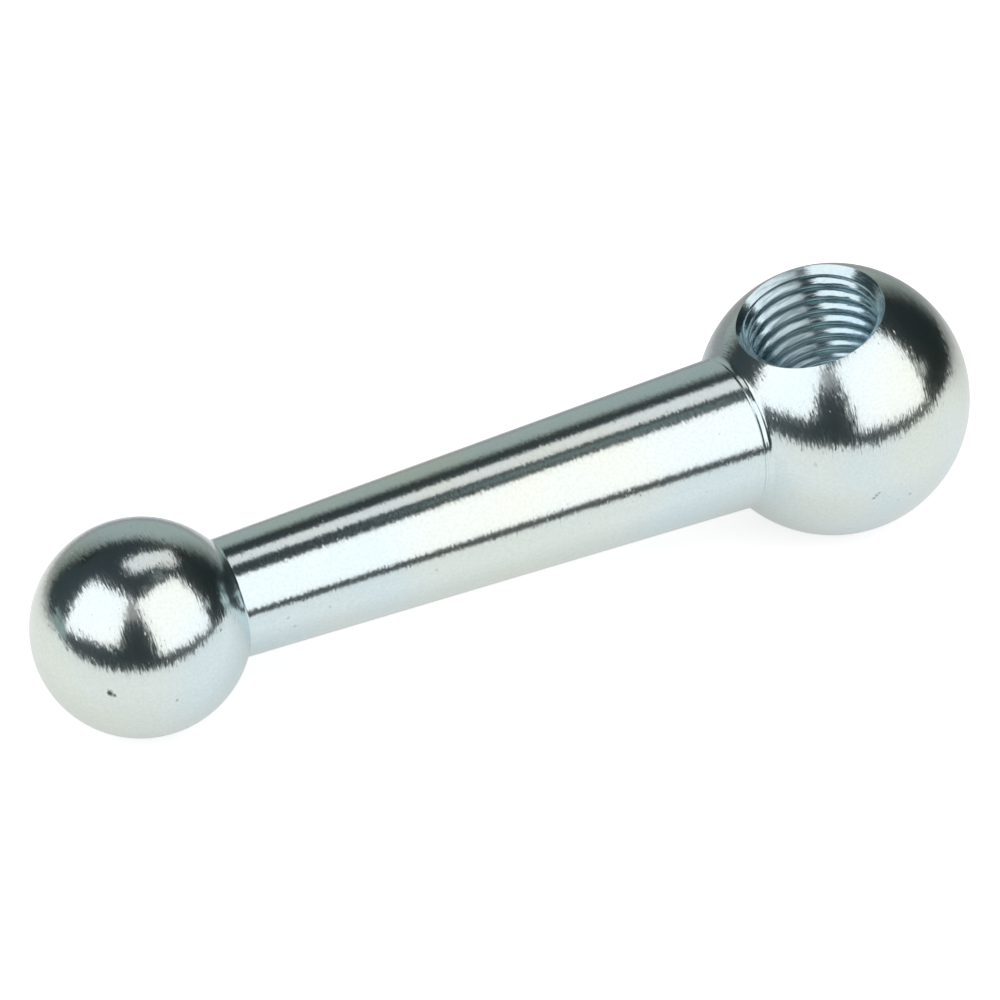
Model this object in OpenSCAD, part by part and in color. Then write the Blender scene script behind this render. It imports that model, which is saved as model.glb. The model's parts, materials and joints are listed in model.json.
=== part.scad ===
// Clamping lever: a turned one-piece steel lever with a large ball hub, a tapered arm and a small ball end.
// The threaded hole in the hub stands on the Z axis and the origin is the centre of the hub.
// The arm points along -X and rises towards the upper mouth of the hole.

/* [Hub ball] */
// Diameter of the large ball
hub_d = 32; // [29:0.5:40]

/* [Arm] */
// Distance between the centres of the two balls
centre_l = 87; // [65:1:140]
// Diameter of the arm at the large ball
arm_hub_d = 18; // [15:0.5:19]
// Diameter of the arm at the small ball
arm_end_d = 13.5; // [9:0.5:15]
// Rise of the arm from a plane square to the hole, in degrees
arm_rise = 15; // [0:1:16]

/* [Small ball] */
// Diameter of the small ball
end_d = 24; // [18:0.5:30]

/* [Neck land] */
// Width of the turned land between the arm and the large ball
land_w = 0.7; // [0.4:0.1:1.5]
// Depth of the land below the arm
land_depth = 0.15; // [0.05:0.05:0.3]

/* [Threaded hole] */
// Nominal diameter of the thread
thread_d = 16; // [10:1:16]
// Pitch of the thread
thread_pitch = 2; // [1:0.25:2]
// Width of the countersink's rim outside the thread
mouth_rim = 0.7; // [0.4:0.1:1]
// Full angle of the countersinks
mouth_angle = 90; // [80:10:120]

/* [Hidden] */
// Depth of the thread as a share of its pitch, which is shallow because the hole is drilled wide
thread_depth_share = 0.275;
// Amount by which a cutter runs past the surface that it cuts
cut_past = 1;
// Fineness of round shapes
$fn = 96;

hub_r = hub_d / 2;
end_r = end_d / 2;
arm_hub_r = arm_hub_d / 2;
arm_end_r = arm_end_d / 2;

// The arm leaves each ball where its radius meets that ball
hub_neck_l = sqrt(hub_r * hub_r - arm_hub_r * arm_hub_r);
end_neck_l = sqrt(end_r * end_r - arm_end_r * arm_end_r);
arm_start_l = hub_neck_l + land_w;
arm_stop_l = centre_l - end_neck_l;

// The hole is drawn at the crests of its thread
bore_r = thread_d / 2 - thread_depth_share * thread_pitch;
mouth_r = thread_d / 2 + mouth_rim;
mouth_z = sqrt(hub_r * hub_r - mouth_r * mouth_r);
mouth_slope = tan(mouth_angle / 2);

steel = "#c9d1d3";

// Turns what is drawn along +Z to lie along the arm
module along_arm() {
    rotate([0, arm_rise - 90, 0]) children();
}

// The turned blank: both balls, the land at the neck and the tapered arm
module turned_blank() {
    sphere(r = hub_r);
    along_arm() {
        cylinder(r = arm_hub_r - land_depth, h = arm_start_l);
        translate([0, 0, arm_start_l])
            cylinder(r1 = arm_hub_r, r2 = arm_end_r, h = arm_stop_l - arm_start_l);
        translate([0, 0, centre_l])
            sphere(r = end_r);
    }
}

// One countersink, opening upwards from the thread to past the top of the ball
module countersink() {
    countersink_z = mouth_z - (mouth_r - bore_r) / mouth_slope;
    cut_l = hub_r + cut_past - countersink_z;
    translate([0, 0, countersink_z])
        cylinder(r1 = bore_r, r2 = bore_r + cut_l * mouth_slope, h = cut_l);
}

module threaded_hole() {
    cylinder(r = bore_r, h = hub_d + 2 * cut_past, center = true);
    countersink();
    mirror([0, 0, 1]) countersink();
}

module lever() {
    color(steel)
        difference() {
            turned_blank();
            threaded_hole();
        }
}

lever();
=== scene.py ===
# Clamping lever: a turned steel lever, zinc plated, lying on a white table between two softboxes.
import json
import math
import bmesh
import bpy
from mathutils import Matrix, Vector


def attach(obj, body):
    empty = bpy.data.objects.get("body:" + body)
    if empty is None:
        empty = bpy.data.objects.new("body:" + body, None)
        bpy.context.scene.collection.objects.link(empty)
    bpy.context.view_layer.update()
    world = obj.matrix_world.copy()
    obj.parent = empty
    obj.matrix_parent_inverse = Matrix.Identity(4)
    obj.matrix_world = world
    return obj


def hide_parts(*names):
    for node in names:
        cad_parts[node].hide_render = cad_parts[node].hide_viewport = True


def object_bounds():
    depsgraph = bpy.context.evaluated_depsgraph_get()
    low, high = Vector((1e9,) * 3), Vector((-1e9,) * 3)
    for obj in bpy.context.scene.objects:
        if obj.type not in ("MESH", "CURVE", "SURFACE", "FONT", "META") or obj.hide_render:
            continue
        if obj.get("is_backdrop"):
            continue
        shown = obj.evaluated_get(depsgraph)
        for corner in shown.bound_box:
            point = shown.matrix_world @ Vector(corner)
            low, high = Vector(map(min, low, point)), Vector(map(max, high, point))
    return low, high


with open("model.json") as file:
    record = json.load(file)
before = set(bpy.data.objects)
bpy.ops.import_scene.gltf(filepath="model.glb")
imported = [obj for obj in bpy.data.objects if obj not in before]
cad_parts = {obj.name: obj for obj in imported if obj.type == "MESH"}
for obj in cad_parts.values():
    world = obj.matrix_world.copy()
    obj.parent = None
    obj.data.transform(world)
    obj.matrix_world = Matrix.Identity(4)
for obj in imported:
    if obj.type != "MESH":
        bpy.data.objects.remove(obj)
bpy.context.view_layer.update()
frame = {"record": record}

# Lever, turned blank
# One steel bar turned to a hub ball, a narrow land at its neck, a tapered arm and a small end ball.
# The outline runs along the arm from the back of the hub and is spun about the arm's axis.
# The tool left small roundings, and a fine groove where the arm begins beside the land.
mm = 0.001
hub_r = 16 * mm
end_r = 12 * mm
centre_l = 87 * mm
arm_hub_r = 9 * mm
arm_end_r = 6.75 * mm
arm_rise = math.radians(15)
land_w = 0.7 * mm
land_depth = 0.15 * mm
land_fillet_r = 0.7 * mm
land_edge_r = 0.05 * mm
groove_w = 0.32 * mm
groove_lean = math.radians(26)
edge_l = 0.03 * mm
end_fillet_r = 0.4 * mm
around = 208
hub_rows = 96
arm_rows = 20
end_rows = 76
fillet_rows = 6

land_r = arm_hub_r - land_depth
arm_way = Vector((-math.cos(arm_rise), 0, math.sin(arm_rise)))
arm_up = Vector((math.sin(arm_rise), 0, math.cos(arm_rise)))
arm_side = arm_way.cross(arm_up)
hub_centre = Vector((0, 0))
end_centre = Vector((centre_l, 0))
arm_start = Vector((math.sqrt(hub_r ** 2 - arm_hub_r ** 2) + land_w, arm_hub_r))
end_neck = Vector((centre_l - math.sqrt(end_r ** 2 - arm_end_r ** 2), arm_end_r))
taper_way = (end_neck - arm_start).normalized()
taper_out = Vector((-taper_way.y, taper_way.x))


def arc(centre, radius, start, stop, rows):
    points = []
    for row in range(rows + 1):
        turn = start + (stop - start) * row / rows
        points.append(centre + Vector((math.cos(turn), math.sin(turn))) * radius)
    return points


# The hub, the fillet at its neck, and the land with its edge
land_fillet_l = math.sqrt((hub_r + land_fillet_r) ** 2 - (land_r + land_fillet_r) ** 2)
land_fillet = Vector((land_fillet_l, land_r + land_fillet_r))
land_edge = arm_start + Vector((land_edge_r, -land_edge_r))
hub_stop = math.atan2(land_fillet.y, land_fillet.x)
outline = arc(hub_centre, hub_r, math.pi, hub_stop, hub_rows)[1:]
outline += arc(land_fillet, land_fillet_r, hub_stop + math.pi, 1.5 * math.pi, fillet_rows)[1:]
outline.append(Vector((arm_start.x, land_r)))
outline += arc(land_edge, land_edge_r, math.pi, math.pi / 2, fillet_rows)

# The groove beside the land
groove_start = outline[-1] + taper_way * edge_l
groove_depth = groove_w / 2 * math.tan(groove_lean)
outline.append(groove_start)
outline.append(groove_start + taper_way * groove_w / 2 - taper_out * groove_depth)
outline.append(groove_start + taper_way * groove_w)

# The arm, the fillet at its far end, and the end ball
lifted = arm_start + taper_out * end_fillet_r - end_centre
lifted_l = lifted.dot(taper_way)
end_reach = math.sqrt(lifted_l ** 2 - lifted.length_squared + (end_r + end_fillet_r) ** 2)
end_fillet = end_centre + lifted - taper_way * (lifted_l + end_reach)
end_start = math.atan2(end_fillet.y, end_fillet.x - centre_l)
taper_in = math.atan2(-taper_out.y, -taper_out.x) + 2 * math.pi
arm_first = outline[-1] + taper_way * edge_l
arm_last = end_fillet - taper_out * end_fillet_r
outline.append(arm_first)
for row in range(1, arm_rows):
    outline.append(arm_first.lerp(arm_last, row / arm_rows))
outline.append(arm_last - taper_way * edge_l)
outline += arc(end_fillet, end_fillet_r, taper_in, end_start + math.pi, fillet_rows)
outline += arc(end_centre, end_r, end_start, 0, end_rows)[1:-1]

blank = bmesh.new()
rings = []
for point in outline:
    ring = []
    for step in range(around):
        turn = 2 * math.pi * step / around
        out = arm_up * math.cos(turn) + arm_side * math.sin(turn)
        ring.append(blank.verts.new(arm_way * point.x + out * point.y))
    rings.append(ring)
hub_pole = blank.verts.new(arm_way * -hub_r)
end_pole = blank.verts.new(arm_way * (centre_l + end_r))
for step in range(around):
    after = (step + 1) % around
    blank.faces.new((hub_pole, rings[0][after], rings[0][step]))
    blank.faces.new((end_pole, rings[-1][step], rings[-1][after]))
    for low, high in zip(rings, rings[1:]):
        blank.faces.new((low[step], low[after], high[after], high[step]))
bmesh.ops.recalc_face_normals(blank, faces=blank.faces)
blank_mesh = bpy.data.meshes.new("lever_blank")
blank.to_mesh(blank_mesh)
blank.free()

# Lever, threaded hole
# The hub is drilled, countersunk from both sides and tapped M16 x 2, right-hand, with a rounded thread.
# A node tree winds the thread on a rod, and cuts the rod and the two countersinks from the blank.
thread_pitch = 2 * mm
crest_r = frame["record"]["mounts"][0]["dims"]["r_mm"] * mm
root_r = 8.1 * mm
mouth_r = 8.7 * mm
mouth_z = math.sqrt(hub_r ** 2 - mouth_r ** 2)
sink_depth = 8 * mm
sink_around = 192
rod_l = 26.4 * mm
rod_around = 160
rod_rows = 232


# Adds a node to a tree, links the sockets that it is given and sets the plain values
def add_node(tree, kind, inputs, **settings):
    node = tree.nodes.new(kind)
    for name, value in settings.items():
        setattr(node, name, value)
    for name, value in inputs.items():
        if isinstance(value, bpy.types.NodeSocket):
            tree.links.new(value, node.inputs[name])
        else:
            node.inputs[name].default_value = value
    return node


def add_math(tree, operation, *values):
    node = add_node(tree, "ShaderNodeMath", dict(enumerate(values)), operation=operation)
    return node.outputs["Value"]


cutter = bpy.data.node_groups.new("tapped_hole", "GeometryNodeTree")
cutter.interface.new_socket("Geometry", in_out="INPUT", socket_type="NodeSocketGeometry")
for name in ("Crest Radius", "Root Radius", "Pitch", "Rod Length", "Mouth Radius", "Mouth Height"):
    cutter.interface.new_socket(name, in_out="INPUT", socket_type="NodeSocketFloat")
for name in ("Rod Around", "Rod Rows"):
    cutter.interface.new_socket(name, in_out="INPUT", socket_type="NodeSocketInt")
cutter.interface.new_socket("Material", in_out="INPUT", socket_type="NodeSocketMaterial")
cutter.interface.new_socket("Geometry", in_out="OUTPUT", socket_type="NodeSocketGeometry")
cut_in = cutter.nodes.new("NodeGroupInput").outputs

# The rod starts with a radius of one, and each of its points then moves to the thread's own radius
rod = add_node(cutter, "GeometryNodeMeshCylinder", {
    "Vertices": cut_in["Rod Around"],
    "Side Segments": cut_in["Rod Rows"],
    "Radius": 1,
    "Depth": cut_in["Rod Length"],
})
rod_place = add_node(cutter, "GeometryNodeInputPosition", {}).outputs["Position"]
rod_parts = add_node(cutter, "ShaderNodeSeparateXYZ", {"Vector": rod_place}).outputs
rod_bearing = add_math(cutter, "ARCTAN2", rod_parts["Y"], rod_parts["X"])
turns = add_math(cutter, "DIVIDE", rod_parts["Z"], cut_in["Pitch"])
turned_by = add_math(cutter, "MULTIPLY", turns, 2 * math.pi)
wound = add_math(cutter, "SUBTRACT", turned_by, rod_bearing)
wave = add_math(cutter, "COSINE", wound)
both_r = add_math(cutter, "ADD", cut_in["Root Radius"], cut_in["Crest Radius"])
middle_r = add_math(cutter, "DIVIDE", both_r, 2)
wave_r = add_math(cutter, "SUBTRACT", cut_in["Root Radius"], middle_r)
thread_r = add_math(cutter, "ADD", middle_r, add_math(cutter, "MULTIPLY", wave, wave_r))
tapped_place = add_node(cutter, "ShaderNodeCombineXYZ", {
    "X": add_math(cutter, "MULTIPLY", rod_parts["X"], thread_r),
    "Y": add_math(cutter, "MULTIPLY", rod_parts["Y"], thread_r),
    "Z": rod_parts["Z"],
})
tap = add_node(cutter, "GeometryNodeSetPosition", {
    "Geometry": rod.outputs["Mesh"],
    "Position": tapped_place.outputs["Vector"],
})

# Each countersink is a cone of 90 degrees that is as wide as the mouth at half its depth
sink = add_node(cutter, "GeometryNodeMeshCone", {
    "Vertices": sink_around,
    "Radius Bottom": add_math(cutter, "SUBTRACT", cut_in["Mouth Radius"], sink_depth / 2),
    "Radius Top": add_math(cutter, "ADD", cut_in["Mouth Radius"], sink_depth / 2),
    "Depth": sink_depth,
})
sink_low_z = add_math(cutter, "SUBTRACT", cut_in["Mouth Height"], sink_depth / 2)
sink_place = add_node(cutter, "ShaderNodeCombineXYZ", {"Z": sink_low_z})
upper_sink = add_node(cutter, "GeometryNodeTransform", {
    "Geometry": sink.outputs["Mesh"],
    "Translation": sink_place.outputs["Vector"],
})
lower_sink = add_node(cutter, "GeometryNodeTransform", {
    "Geometry": upper_sink.outputs["Geometry"],
    "Rotation": (math.pi, 0, 0),
})

cut = add_node(
    cutter,
    "GeometryNodeMeshBoolean",
    {"Mesh 1": cut_in["Geometry"]},
    operation="DIFFERENCE",
    solver="MANIFOLD",
)
for tool in (tap, upper_sink, lower_sink):
    cutter.links.new(tool.outputs["Geometry"], cut.inputs["Mesh 2"])
realize = add_node(cutter, "GeometryNodeRealizeInstances", {"Geometry": cut.outputs["Mesh"]})
plate = add_node(cutter, "GeometryNodeSetMaterial", {
    "Geometry": realize.outputs["Geometry"],
    "Material": cut_in["Material"],
})
add_node(cutter, "NodeGroupOutput", {"Geometry": plate.outputs["Geometry"]})

# Lever, tool marks
# The turning tool left short fine rings, which tilt the bright surface a little this way and that.
# Short streaks along the rings tilt it further, but only where they are strong.
streak_stretch = (0.8, 2.4, 2.4)
noise_middle = (0.5, 0.5, 0.5)


def add_vector_math(tree, operation, *values):
    node = add_node(tree, "ShaderNodeVectorMath", dict(enumerate(values)), operation=operation)
    result = "Value" if operation in ("DOT_PRODUCT", "DISTANCE") else "Vector"
    return node.outputs[result]


def add_scale(tree, vector, factor):
    node = add_node(tree, "ShaderNodeVectorMath", {0: vector, "Scale": factor}, operation="SCALE")
    return node.outputs["Vector"]


tool_marks = bpy.data.node_groups.new("tool_marks", "ShaderNodeTree")
for name in ("Ring Place", "Surface", "Axis"):
    tool_marks.interface.new_socket(name, in_out="INPUT", socket_type="NodeSocketVector")
for name in ("Ring Sway", "Axis Sway", "Streak Sway"):
    tool_marks.interface.new_socket(name, in_out="INPUT", socket_type="NodeSocketFloat")
tool_marks.interface.new_socket("Normal", in_out="OUTPUT", socket_type="NodeSocketVector")
marks_in = tool_marks.nodes.new("NodeGroupInput").outputs

ring_noise = add_node(tool_marks, "ShaderNodeTexNoise", {
    "Vector": marks_in["Ring Place"],
    "Scale": 1.0,
    "Detail": 2.0,
    "Roughness": 0.55,
})
ring_even = add_vector_math(tool_marks, "SUBTRACT", ring_noise.outputs["Color"], noise_middle)
ring_parts = add_node(tool_marks, "ShaderNodeSeparateXYZ", {"Vector": ring_even}).outputs
ring_across = add_vector_math(tool_marks, "CROSS_PRODUCT", marks_in["Axis"], marks_in["Surface"])
ring_way = add_vector_math(tool_marks, "NORMALIZE", ring_across)
ring_force = add_math(tool_marks, "MULTIPLY", ring_parts["X"], marks_in["Ring Sway"])
axis_force = add_math(tool_marks, "MULTIPLY", ring_parts["Y"], marks_in["Axis Sway"])
ring_sway = add_scale(tool_marks, ring_way, ring_force)
axis_sway = add_scale(tool_marks, marks_in["Axis"], axis_force)

streak_noise = add_node(tool_marks, "ShaderNodeTexNoise", {
    "Vector": add_vector_math(tool_marks, "MULTIPLY", marks_in["Ring Place"], streak_stretch),
    "Scale": 1.0,
    "Detail": 1.0,
})
streak_even = add_vector_math(tool_marks, "SUBTRACT", streak_noise.outputs["Color"], noise_middle)
streak_square = add_vector_math(tool_marks, "DOT_PRODUCT", streak_even, streak_even)
streak_force = add_math(tool_marks, "MULTIPLY", streak_square, marks_in["Streak Sway"])
streak_sway = add_scale(tool_marks, streak_even, streak_force)

ring_tilt = add_vector_math(tool_marks, "ADD", ring_sway, axis_sway)
whole_tilt = add_vector_math(tool_marks, "ADD", ring_tilt, streak_sway)
tilted = add_vector_math(tool_marks, "ADD", marks_in["Surface"], whole_tilt)
marked = add_node(
    tool_marks,
    "ShaderNodeVectorTransform",
    {"Vector": add_vector_math(tool_marks, "NORMALIZE", tilted)},
    vector_type="NORMAL",
    convert_from="OBJECT",
    convert_to="WORLD",
)
add_node(tool_marks, "NodeGroupOutput", {"Normal": marked.outputs["Vector"]})

# Lever, tint, specks and dark spots
# The zinc is bluish and drifts to a faint green, with a fine mottle and small dark specks.
# The dark spots are small darkened patches of colour, each with its place in mm, its radius in mm and its
# darkness.
drift_size = 18 * mm
mottle_size = 0.35 * mm
speck_spacing = 1.4 * mm
speck_largest = 0.06
speck_blur = 0.04
speck_darkness = 0.45
blue_tint = (0.66, 0.775, 0.795, 1)
middle_tint = (0.70, 0.78, 0.755, 1)
green_tint = (0.715, 0.78, 0.715, 1)

plating = bpy.data.node_groups.new("plating", "ShaderNodeTree")
plating.interface.new_socket("Place", in_out="INPUT", socket_type="NodeSocketVector")
plating.interface.new_socket("Tint", in_out="OUTPUT", socket_type="NodeSocketColor")
plating.interface.new_socket("Speck", in_out="OUTPUT", socket_type="NodeSocketFloat")
plate_place = plating.nodes.new("NodeGroupInput").outputs["Place"]

drift = add_node(plating, "ShaderNodeTexNoise", {
    "Vector": plate_place,
    "Scale": 1 / drift_size,
    "Detail": 1.5,
})
tint = add_node(plating, "ShaderNodeValToRGB", {"Fac": drift.outputs["Fac"]})
tint.color_ramp.elements[0].position = 0.36
tint.color_ramp.elements[0].color = blue_tint
tint.color_ramp.elements[1].position = 0.64
tint.color_ramp.elements[1].color = green_tint
tint.color_ramp.elements.new(0.5).color = middle_tint
wobble = add_node(plating, "ShaderNodeTexNoise", {
    "Vector": plate_place,
    "Scale": 1 / mottle_size,
    "Detail": 1.0,
})
mottle = add_node(plating, "ShaderNodeMapRange", {
    "Value": wobble.outputs["Fac"],
    "From Min": 0.3,
    "From Max": 0.7,
    "To Min": 0.97,
    "To Max": 1.03,
})
mottled = add_scale(plating, tint.outputs["Color"], mottle.outputs["Result"])

cells = add_node(plating, "ShaderNodeTexVoronoi", {
    "Vector": plate_place,
    "Scale": 1 / speck_spacing,
})
chance = add_node(plating, "ShaderNodeSeparateColor", {"Color": cells.outputs["Color"]})
speck_size = add_node(plating, "ShaderNodeMapRange", {
    "Value": chance.outputs["Red"],
    "From Min": 0.5,
    "From Max": 1.0,
    "To Min": 0.0,
    "To Max": speck_largest,
})
speck_edge = add_math(plating, "SUBTRACT", speck_size.outputs["Result"], cells.outputs["Distance"])
speck = add_node(plating, "ShaderNodeMapRange", {
    "Value": speck_edge,
    "From Min": -speck_blur,
    "From Max": speck_blur,
    "To Max": speck_darkness,
})

dark = speck.outputs["Result"]
for spot_place, spot_r, darkness in (
    ((-90.72, -9.60, 25.24), 0.36, 1.00),
    ((-90.48, -9.90, 24.88), 0.24, 0.90),
    ((-85.00, -11.94, 21.75), 0.16, 0.55),
    ((-4.31, -15.28, -1.97), 0.20, 0.55),
    ((-3.98, -15.40, -1.70), 0.20, 0.50),
    ((-3.66, -15.51, -1.44), 0.18, 0.40),
    ((-9.05, -12.39, 4.55), 0.26, 0.16),
    ((0.05, -15.41, -4.30), 0.20, 0.40),
    ((-70.04, -6.88, 19.35), 0.20, 0.22),
    ((-69.71, -6.88, 17.80), 0.25, 0.20),
    ((-65.41, -7.07, 17.85), 0.22, 0.20),
    ((-53.00, -7.49, 15.07), 0.22, 0.22),
):
    away = add_vector_math(plating, "DISTANCE", plate_place, Vector(spot_place) * mm)
    uneven = add_math(plating, "MULTIPLY_ADD", wobble.outputs["Fac"], 1.2 * spot_r * mm, away)
    spot = add_node(plating, "ShaderNodeMapRange", {
        "Value": uneven,
        "From Min": 1.9 * spot_r * mm,
        "From Max": 1.1 * spot_r * mm,
        "To Max": darkness,
    })
    dark = add_math(plating, "MAXIMUM", dark, spot.outputs["Result"])
add_node(plating, "NodeGroupOutput", {"Tint": mottled, "Speck": dark})

# Lever, zinc plating
# Bright zinc over the turned steel, in three finishes: both balls, the smoother arm and the bluer hole.
# The rings run round the arm's axis on the arm and on both balls, and round the hole's axis inside it.
dirt = (0.10, 0.105, 0.10, 1)
plain_wash = (1.0, 1.0, 1.0, 1)
blue_wash = (0.80, 0.91, 0.99, 1)
tapped_rough = 0.18
hole_way = Vector((0, 0, 1))
hole_turn = math.pi / 2
finishes = {}
for name, axis, axis_turn, ring_size, sways, rough, wash in (
    ("ball_zinc", arm_way, arm_rise, (0.14, 1.6, 1.6), (0.13, 0.16, 2.2), 0.165, plain_wash),
    ("arm_zinc", arm_way, arm_rise, (0.14, 1.2, 1.2), (0.07, 0.09, 1.8), 0.155, plain_wash),
    ("tapped_zinc", hole_way, hole_turn, (0.11, 1.6, 1.6), (0.08, 0.45, 1.5), tapped_rough, blue_wash),
):
    material = bpy.data.materials.new(name)
    material.use_nodes = True
    tree = material.node_tree
    where = add_node(tree, "ShaderNodeTexCoord", {}).outputs
    surface = add_node(tree, "ShaderNodeGroup", {"Place": where["Object"]}, node_tree=plating)
    washed = add_node(
        tree,
        "ShaderNodeMix",
        {"Factor": 1.0, "A": surface.outputs["Tint"], "B": wash},
        data_type="RGBA",
        blend_type="MULTIPLY",
    )
    specked = add_node(
        tree,
        "ShaderNodeMix",
        {"Factor": surface.outputs["Speck"], "A": washed.outputs["Result"], "B": dirt},
        data_type="RGBA",
    )
    along = add_node(
        tree,
        "ShaderNodeMapping",
        {"Vector": where["Object"], "Rotation": (0, axis_turn, 0), "Scale": Vector(ring_size) * mm},
        vector_type="TEXTURE",
    )
    marks = add_node(
        tree,
        "ShaderNodeGroup",
        {
            "Ring Place": along.outputs["Vector"],
            "Surface": where["Normal"],
            "Axis": axis,
            "Ring Sway": sways[0],
            "Axis Sway": sways[1],
            "Streak Sway": sways[2],
        },
        node_tree=tool_marks,
    )
    shade = tree.nodes["Principled BSDF"]
    shade.inputs["Metallic"].default_value = 1.0
    shade.inputs["Roughness"].default_value = rough
    tree.links.new(specked.outputs["Result"], shade.inputs["Base Color"])
    tree.links.new(marks.outputs["Normal"], shade.inputs["Normal"])
    finishes[name] = material

# Lever, torn and shaded thread
# On one side of the hole the thread is torn and duller, and dark streaks along its rings there are painted
# shade.
# The sector belongs to the tapped hole's finish and fades out round the hole.
sector_way = Vector((0, 1, 0))
sector_whole = math.radians(12)
sector_none = math.radians(25)
torn_rough = 0.38
shade_streak_darkness = 0.65
shade_streak_colour = (0.14, 0.20, 0.23, 1)
sector_tree = finishes["tapped_zinc"].node_tree
sector_place = sector_tree.nodes["Texture Coordinate"].outputs["Object"]
sector_level = add_vector_math(sector_tree, "MULTIPLY", sector_place, (1, 1, 0))
sector_out = add_vector_math(sector_tree, "NORMALIZE", sector_level)
sector_share = add_node(
    sector_tree,
    "ShaderNodeMapRange",
    {
        "Value": add_vector_math(sector_tree, "DOT_PRODUCT", sector_out, sector_way),
        "From Min": math.cos(sector_none),
        "From Max": math.cos(sector_whole),
    },
    interpolation_type="SMOOTHSTEP",
)
torn_dull = add_node(sector_tree, "ShaderNodeMapRange", {
    "Value": sector_share.outputs["Result"],
    "To Min": tapped_rough,
    "To Max": torn_rough,
})
# The dark streaks along the rings in this sector are painted shade.
shade_streaks = add_node(sector_tree, "ShaderNodeTexNoise", {
    "Vector": sector_tree.nodes["Mapping"].outputs["Vector"],
    "Scale": 0.5,
    "Detail": 2.0,
})
shade_streak_depth = add_node(sector_tree, "ShaderNodeMapRange", {
    "Value": shade_streaks.outputs["Fac"],
    "From Min": 0.46,
    "From Max": 0.62,
    "To Max": shade_streak_darkness,
})
shade_streak_mask = add_math(sector_tree, "MULTIPLY", shade_streak_depth.outputs["Result"], sector_share.outputs["Result"])
sector_coat = sector_tree.nodes["Principled BSDF"]
whole_colour = sector_coat.inputs["Base Color"].links[0].from_socket
streak_shaded_colour = add_node(
    sector_tree,
    "ShaderNodeMix",
    {"Factor": shade_streak_mask, "A": whole_colour, "B": shade_streak_colour},
    data_type="RGBA",
)
sector_tree.links.new(streak_shaded_colour.outputs["Result"], sector_coat.inputs["Base Color"])
sector_tree.links.new(torn_dull.outputs["Result"], sector_coat.inputs["Roughness"])

# Lever, finished piece
# The cut blank becomes one plain mesh, smooth on its turned faces and sharp at its edges.
# It takes the place of the model's lever and rides on its only body.
weld_gap = 0.0005 * mm
sharp_angle = math.radians(24)
hub_skin = 0.03 * mm
lever = bpy.data.objects.new("clamping_lever", blank_mesh)
bpy.context.scene.collection.objects.link(lever)
hole = lever.modifiers.new("hole", "NODES")
hole.node_group = cutter
hole_sizes = {
    "Crest Radius": crest_r,
    "Root Radius": root_r,
    "Pitch": thread_pitch,
    "Rod Length": rod_l,
    "Mouth Radius": mouth_r,
    "Mouth Height": mouth_z,
    "Rod Around": rod_around,
    "Rod Rows": rod_rows,
    "Material": finishes["ball_zinc"],
}
for item in cutter.interface.items_tree:
    if item.in_out == "INPUT" and item.name in hole_sizes:
        hole[item.identifier] = hole_sizes[item.name]
bpy.context.view_layer.update()
evaluated = lever.evaluated_get(bpy.context.evaluated_depsgraph_get())
lever_mesh = bpy.data.meshes.new_from_object(evaluated)
lever.modifiers.remove(hole)
lever.data = lever_mesh
welded = bmesh.new()
welded.from_mesh(lever_mesh)
bmesh.ops.remove_doubles(welded, verts=welded.verts, dist=weld_gap)
welded.to_mesh(lever_mesh)
welded.free()
lever_mesh.polygons.foreach_set("use_smooth", [True] * len(lever_mesh.polygons))
lever_mesh.set_sharp_from_angle(angle=sharp_angle)
lever_mesh.materials.clear()
for name in ("ball_zinc", "arm_zinc", "tapped_zinc"):
    lever_mesh.materials.append(finishes[name])
for face in lever_mesh.polygons:
    in_hole = face.center.length < hub_r - hub_skin and face.center.xy.length < mouth_r
    on_arm = arm_start.x < face.center.dot(arm_way) < end_neck.x
    if in_hole:
        face.material_index = 2
    elif on_arm:
        face.material_index = 1
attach(lever, "root")
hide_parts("lever")

# Table
# A plain white table top. The lever lies on it with its end ball and the rim of the hub's lower mouth.
# Its front edge is near and slightly turned, so the balls show the dark room beyond it.
# It glows white to the camera. In reflections its glow is painted light that grows dim towards the back, and
# near the lever a faint painted shade darkens the glow.
camera_bearing = math.radians(26.69)
table_half = 2.5
table_front = 0.150
table_back = 0.32
edge_turn = math.radians(10)
shade_reach = 20 * mm
seen_shade = 0.30
mirrored_shade = 0.50
mirrored_front = 0.70
mirrored_back = 0.12

# The slope of the table follows from the two places where the lever touches it
rim_low = Vector((-mouth_r, 0, -mouth_z))
end_from_rim = arm_way * centre_l - rim_low
end_slope = math.atan2(end_from_rim.z, -end_from_rim.x)
table_tilt = end_slope - math.asin(end_r / end_from_rim.length)
table_up = Vector((math.sin(table_tilt), 0, math.cos(table_tilt)))
table_along = Vector((math.cos(table_tilt), 0, -math.sin(table_tilt)))
front = table_along * -math.sin(camera_bearing) + Vector((0, -1, 0)) * math.cos(camera_bearing)
side = table_up.cross(front)
lever_middle = (arm_way * centre_l) / 2
foot = lever_middle - table_up * (lever_middle - rim_low).dot(table_up)

edge_way = side * math.cos(edge_turn) + front * math.sin(edge_turn)
edge_out = front * math.cos(edge_turn) - side * math.sin(edge_turn)
table_corners = []
for across, ahead in (
    (-table_half, table_front),
    (table_half, table_front),
    (table_half, -table_back),
    (-table_half, -table_back),
):
    table_corners.append(foot + edge_way * across + edge_out * ahead)
table_mesh = bpy.data.meshes.new("table")
table_mesh.from_pydata(table_corners, [], [(0, 1, 2, 3)])
table = bpy.data.objects.new("table", table_mesh)
bpy.context.scene.collection.objects.link(table)

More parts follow.
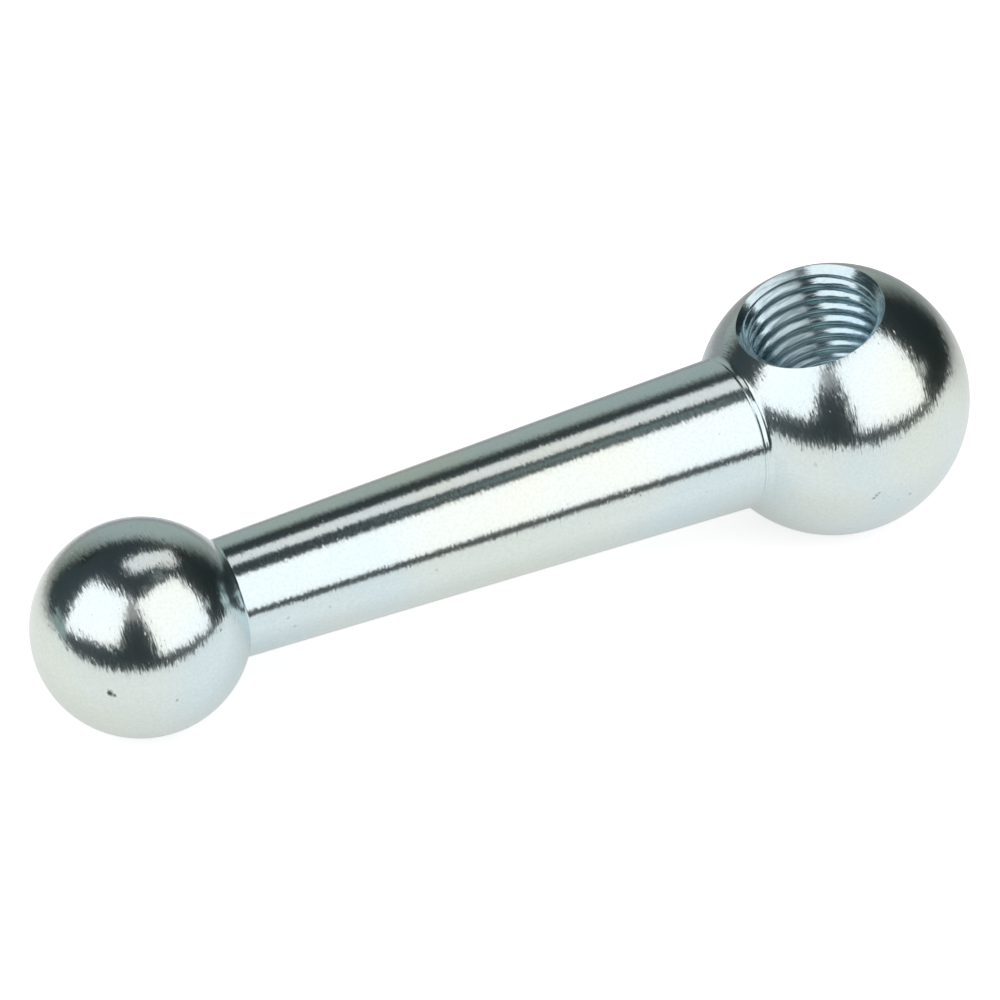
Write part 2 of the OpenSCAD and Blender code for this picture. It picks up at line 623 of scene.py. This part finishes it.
table_white = bpy.data.materials.new("table_white")
table_white.use_nodes = True
table_white.cycles.emission_sampling = "NONE"
table_tree = table_white.node_tree
table_path = add_node(table_tree, "ShaderNodeLightPath", {}).outputs
table_place = add_node(table_tree, "ShaderNodeTexCoord", {}).outputs["Object"]
# Ambient occlusion darkens the glow near the lever: a painted shade, faint to the camera and stronger in
# reflections.
table_shade = add_node(table_tree, "ShaderNodeAmbientOcclusion", {"Distance": shade_reach}, samples=6)
table_open = table_shade.outputs["AO"]
# In reflections the glow is painted light, bright at the front of the table and dim at the back.
lit_way = (front * 0.98 + side * 0.2).normalized()
from_foot = add_vector_math(table_tree, "SUBTRACT", table_place, foot)
falloff = add_node(
    table_tree,
    "ShaderNodeMapRange",
    {
        "Value": add_vector_math(table_tree, "DOT_PRODUCT", from_foot, lit_way),
        "From Min": -105 * mm,
        "From Max": -5 * mm,
        "To Min": mirrored_back,
        "To Max": mirrored_front,
    },
    interpolation_type="SMOOTHSTEP",
)
mirrored = add_math(table_tree, "MAXIMUM", table_path["Is Glossy Ray"], table_path["Is Transmission Ray"])
mirrored_open = add_math(table_tree, "MULTIPLY_ADD", table_open, mirrored_shade, 1 - mirrored_shade)
mirrored_light = add_math(table_tree, "MULTIPLY", falloff.outputs["Result"], mirrored_open)
mirrored_glow = add_math(table_tree, "MULTIPLY", mirrored_light, mirrored)
seen_open = add_math(table_tree, "MULTIPLY_ADD", table_open, seen_shade, 1 - seen_shade)
seen_glow = add_math(table_tree, "MULTIPLY", seen_open, table_path["Is Camera Ray"])
table_glow = add_math(table_tree, "MAXIMUM", seen_glow, mirrored_glow)
table_paint = table_tree.nodes["Principled BSDF"]
table_paint.inputs["Base Color"].default_value = (0.45, 0.45, 0.45, 1)
table_paint.inputs["Roughness"].default_value = 0.9
table_paint.inputs["Specular IOR Level"].default_value = 0.0
table_paint.inputs["Emission Color"].default_value = (1, 1, 1, 1)
table_tree.links.new(table_glow, table_paint.inputs["Emission Strength"])
table_mesh.materials.append(table_white)
table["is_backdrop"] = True

# Dark room
# The dim room round the table, bluish to the left and darker to the right.
# It glows softly by itself, throws no shadow, and is seen only in the lever's reflections.
room_r = 1.8
room_left = (0.043, 0.058, 0.068, 1)
room_right = (0.013, 0.019, 0.019, 1)


# Puts a mesh in the studio that only reflections show, with a paint that glows, and returns the paint's tree
def add_glowing(name, mesh):
    thing = bpy.data.objects.new(name, mesh)
    bpy.context.scene.collection.objects.link(thing)
    thing.visible_camera = False
    thing.visible_shadow = False
    paint = bpy.data.materials.new(name)
    paint.use_nodes = True
    paint.cycles.emission_sampling = "NONE"
    coat = paint.node_tree.nodes["Principled BSDF"]
    coat.inputs["Base Color"].default_value = (0, 0, 0, 1)
    coat.inputs["Specular IOR Level"].default_value = 0.0
    coat.inputs["Emission Strength"].default_value = 1.0
    mesh.materials.append(paint)
    thing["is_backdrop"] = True
    return paint.node_tree


room_mesh = bpy.data.meshes.new("dark_room")
room_shape = bmesh.new()
bmesh.ops.create_uvsphere(room_shape, u_segments=48, v_segments=24, radius=room_r)
bmesh.ops.translate(room_shape, verts=room_shape.verts, vec=lever_middle)
room_shape.to_mesh(room_mesh)
room_shape.free()
room_tree = add_glowing("dark_room", room_mesh)
room_place = add_node(room_tree, "ShaderNodeTexCoord", {}).outputs["Object"]
room_share = add_node(room_tree, "ShaderNodeMapRange", {
    "Value": add_vector_math(room_tree, "DOT_PRODUCT", room_place, side),
    "From Min": -room_r,
    "From Max": room_r,
})
room_colour = add_node(room_tree, "ShaderNodeValToRGB", {"Fac": room_share.outputs["Result"]})
room_colour.color_ramp.elements[0].color = room_left
room_colour.color_ramp.elements[1].color = room_right
room_coat = room_tree.nodes["Principled BSDF"]
room_tree.links.new(room_colour.outputs["Color"], room_coat.inputs["Emission Color"])

# Back wall
# A grey-green sheet that rises behind the table in a curve, brightest low down and near its middle.
# It hangs free, glows softly by itself, and is seen only in the lever's reflections.
sweep_left = -0.85
sweep_right = 0.46
sweep_deep = 0.28
sweep_tall = 0.66
sweep_rows = 16
sweep_dimmest = 0.08
sweep_colour = (0.41, 0.46, 0.44, 1)
sweep_mesh = bpy.data.meshes.new("grey_sweep")
sweep_points = []
sweep_faces = []
for row in range(sweep_rows + 1):
    turn = row / sweep_rows * math.pi / 2
    behind = table_back + sweep_deep * math.sin(turn)
    rise = sweep_tall * (1 - math.cos(turn))
    for across in (sweep_left, sweep_right):
        sweep_points.append(foot + side * across - front * behind + table_up * rise)
    if row:
        sweep_faces.append((2 * row - 2, 2 * row - 1, 2 * row + 1, 2 * row))
sweep_mesh.from_pydata(sweep_points, [], sweep_faces)
sweep_tree = add_glowing("grey_sweep", sweep_mesh)
sweep_place = add_node(sweep_tree, "ShaderNodeTexCoord", {}).outputs["Object"]
sweep_from = add_vector_math(sweep_tree, "SUBTRACT", sweep_place, foot)
fades = []
for way, bright_at, dark_at in (
    (table_up, 0.31, 0.62),
    (side, 0.04, 0.44),
    (side, -0.15, -0.85),
):
    fade = add_node(
        sweep_tree,
        "ShaderNodeMapRange",
        {
            "Value": add_vector_math(sweep_tree, "DOT_PRODUCT", sweep_from, way),
            "From Min": dark_at,
            "From Max": bright_at,
            "To Min": sweep_dimmest,
        },
        interpolation_type="SMOOTHSTEP",
    )
    fades.append(fade.outputs["Result"])
up_right_fade = add_math(sweep_tree, "MULTIPLY", fades[0], fades[1])
sweep_glow = add_math(sweep_tree, "MULTIPLY", up_right_fade, fades[2])
sweep_coat = sweep_tree.nodes["Principled BSDF"]
sweep_coat.inputs["Emission Color"].default_value = sweep_colour
sweep_tree.links.new(sweep_glow, sweep_coat.inputs["Emission Strength"])

# Cards
# Flat plain cards that stand about the studio, each facing the lever, and glow softly by themselves.
# They are seen only in the lever's reflections. A place is a bearing, a height angle and a distance.


def on_stage(bearing, height):
    level = front * math.cos(math.radians(bearing)) + side * math.sin(math.radians(bearing))
    return level * math.cos(math.radians(height)) + table_up * math.sin(math.radians(height))


def turned_to(out):
    across = table_up.cross(out).normalized()
    return Matrix((across, out.cross(across), out)).transposed().to_4x4()


for name, bearing, height, away, wide, tall, colour in (
    ("ceiling_card", 107, 74, 0.90, 0.13, 0.14, (0.17, 0.22, 0.23, 1)),
    ("warm_card", -9, 51.5, 0.75, 0.15, 0.22, (0.33, 0.31, 0.31, 1)),
    ("small_card", 94, 22, 0.60, 0.05, 0.06, (0.75, 0.78, 0.78, 1)),
    ("left_card", -86, 4, 0.70, 0.28, 0.12, (0.27, 0.36, 0.35, 1)),
):
    card_way = on_stage(bearing, height)
    card_at = Matrix.Translation(lever_middle + card_way * away) @ turned_to(card_way)
    card_corners = []
    for across, rise in ((-0.5, -0.5), (0.5, -0.5), (0.5, 0.5), (-0.5, 0.5)):
        card_corners.append(card_at @ Vector((across * wide, rise * tall, 0)))
    card_mesh = bpy.data.meshes.new(name)
    card_mesh.from_pydata(card_corners, [], [(0, 1, 2, 3)])
    card_coat = add_glowing(name, card_mesh).nodes["Principled BSDF"]
    card_coat.inputs["Emission Color"].default_value = colour

# Lamps
# Two square softboxes, right and left of the camera, and a long panel overhead behind the lever.
# Each has a place, as the cards have, then the bearing and height that it faces, its roll and its size.
lamp_colour = (1.0, 0.955, 0.965)
for name, bearing, height, away, facing, roll, wide, tall, radiance in (
    ("right_softbox", 54.4, 43.7, 0.532, (48.1, 30.1), 0.4, 0.661, 0.676, 1.32),
    ("left_softbox", -59.3, 41.7, 0.643, (-44.2, 21.3), 8.4, 0.672, 0.634, 1.32),
    ("overhead_panel", 167.7, 68.3, 0.639, (156.1, 64.8), -34.0, 0.212, 0.512, 0.93),
):
    light = bpy.data.lights.new(name, "AREA")
    light.shape = "RECTANGLE"
    light.size = wide
    light.size_y = tall
    light.energy = radiance * math.pi * wide * tall
    light.color = lamp_colour
    lamp = bpy.data.objects.new(name, light)
    bpy.context.scene.collection.objects.link(lamp)
    lamp_place = Matrix.Translation(lever_middle + on_stage(bearing, height) * away)
    lamp_roll = Matrix.Rotation(math.radians(roll), 4, "Z")
    lamp.matrix_world = lamp_place @ turned_to(on_stage(*facing)) @ lamp_roll
    lamp.visible_camera = False

# White surround
# The world is plain white where the camera looks past the table, as the photo's ground is.
# Mirrored and see-through rays find it white too, and it throws no light on the lever.
world = bpy.data.worlds.new("white_surround")
bpy.context.scene.world = world
world.use_nodes = True
world_tree = world.node_tree
world_path = add_node(world_tree, "ShaderNodeLightPath", {}).outputs
world_seen = add_math(world_tree, "MAXIMUM", world_path["Is Camera Ray"], world_path["Is Glossy Ray"])
world_white = add_math(world_tree, "MAXIMUM", world_seen, world_path["Is Transmission Ray"])
world_back = world_tree.nodes["Background"]
world_back.inputs["Color"].default_value = (1, 1, 1, 1)
world_tree.links.new(world_white, world_back.inputs["Strength"])

# Camera
# A long lens that looks down at the lever from the front, with the end ball to the left.
# Its place, lens and slight roll were fitted to the outlines in the photo.
camera_height = math.radians(36.40)
camera_distance = 350.70 * mm
camera_roll = math.radians(0.24)
camera_aim = Vector((-41.677, 0.567, 11.949)) * mm
lens = bpy.data.cameras.new("camera")
lens.lens = 111.98
lens.sensor_width = 36
lens.clip_start = 0.01
camera = bpy.data.objects.new("camera", lens)
bpy.context.scene.collection.objects.link(camera)
camera_back = front * math.cos(camera_height) + table_up * math.sin(camera_height)
camera_place = Matrix.Translation(camera_aim + camera_back * camera_distance)
camera.matrix_world = camera_place @ turned_to(camera_back) @ Matrix.Rotation(camera_roll, 4, "Z")
scene = bpy.context.scene
scene.camera = camera
scene.view_settings.view_transform = "Standard"

low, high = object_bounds()
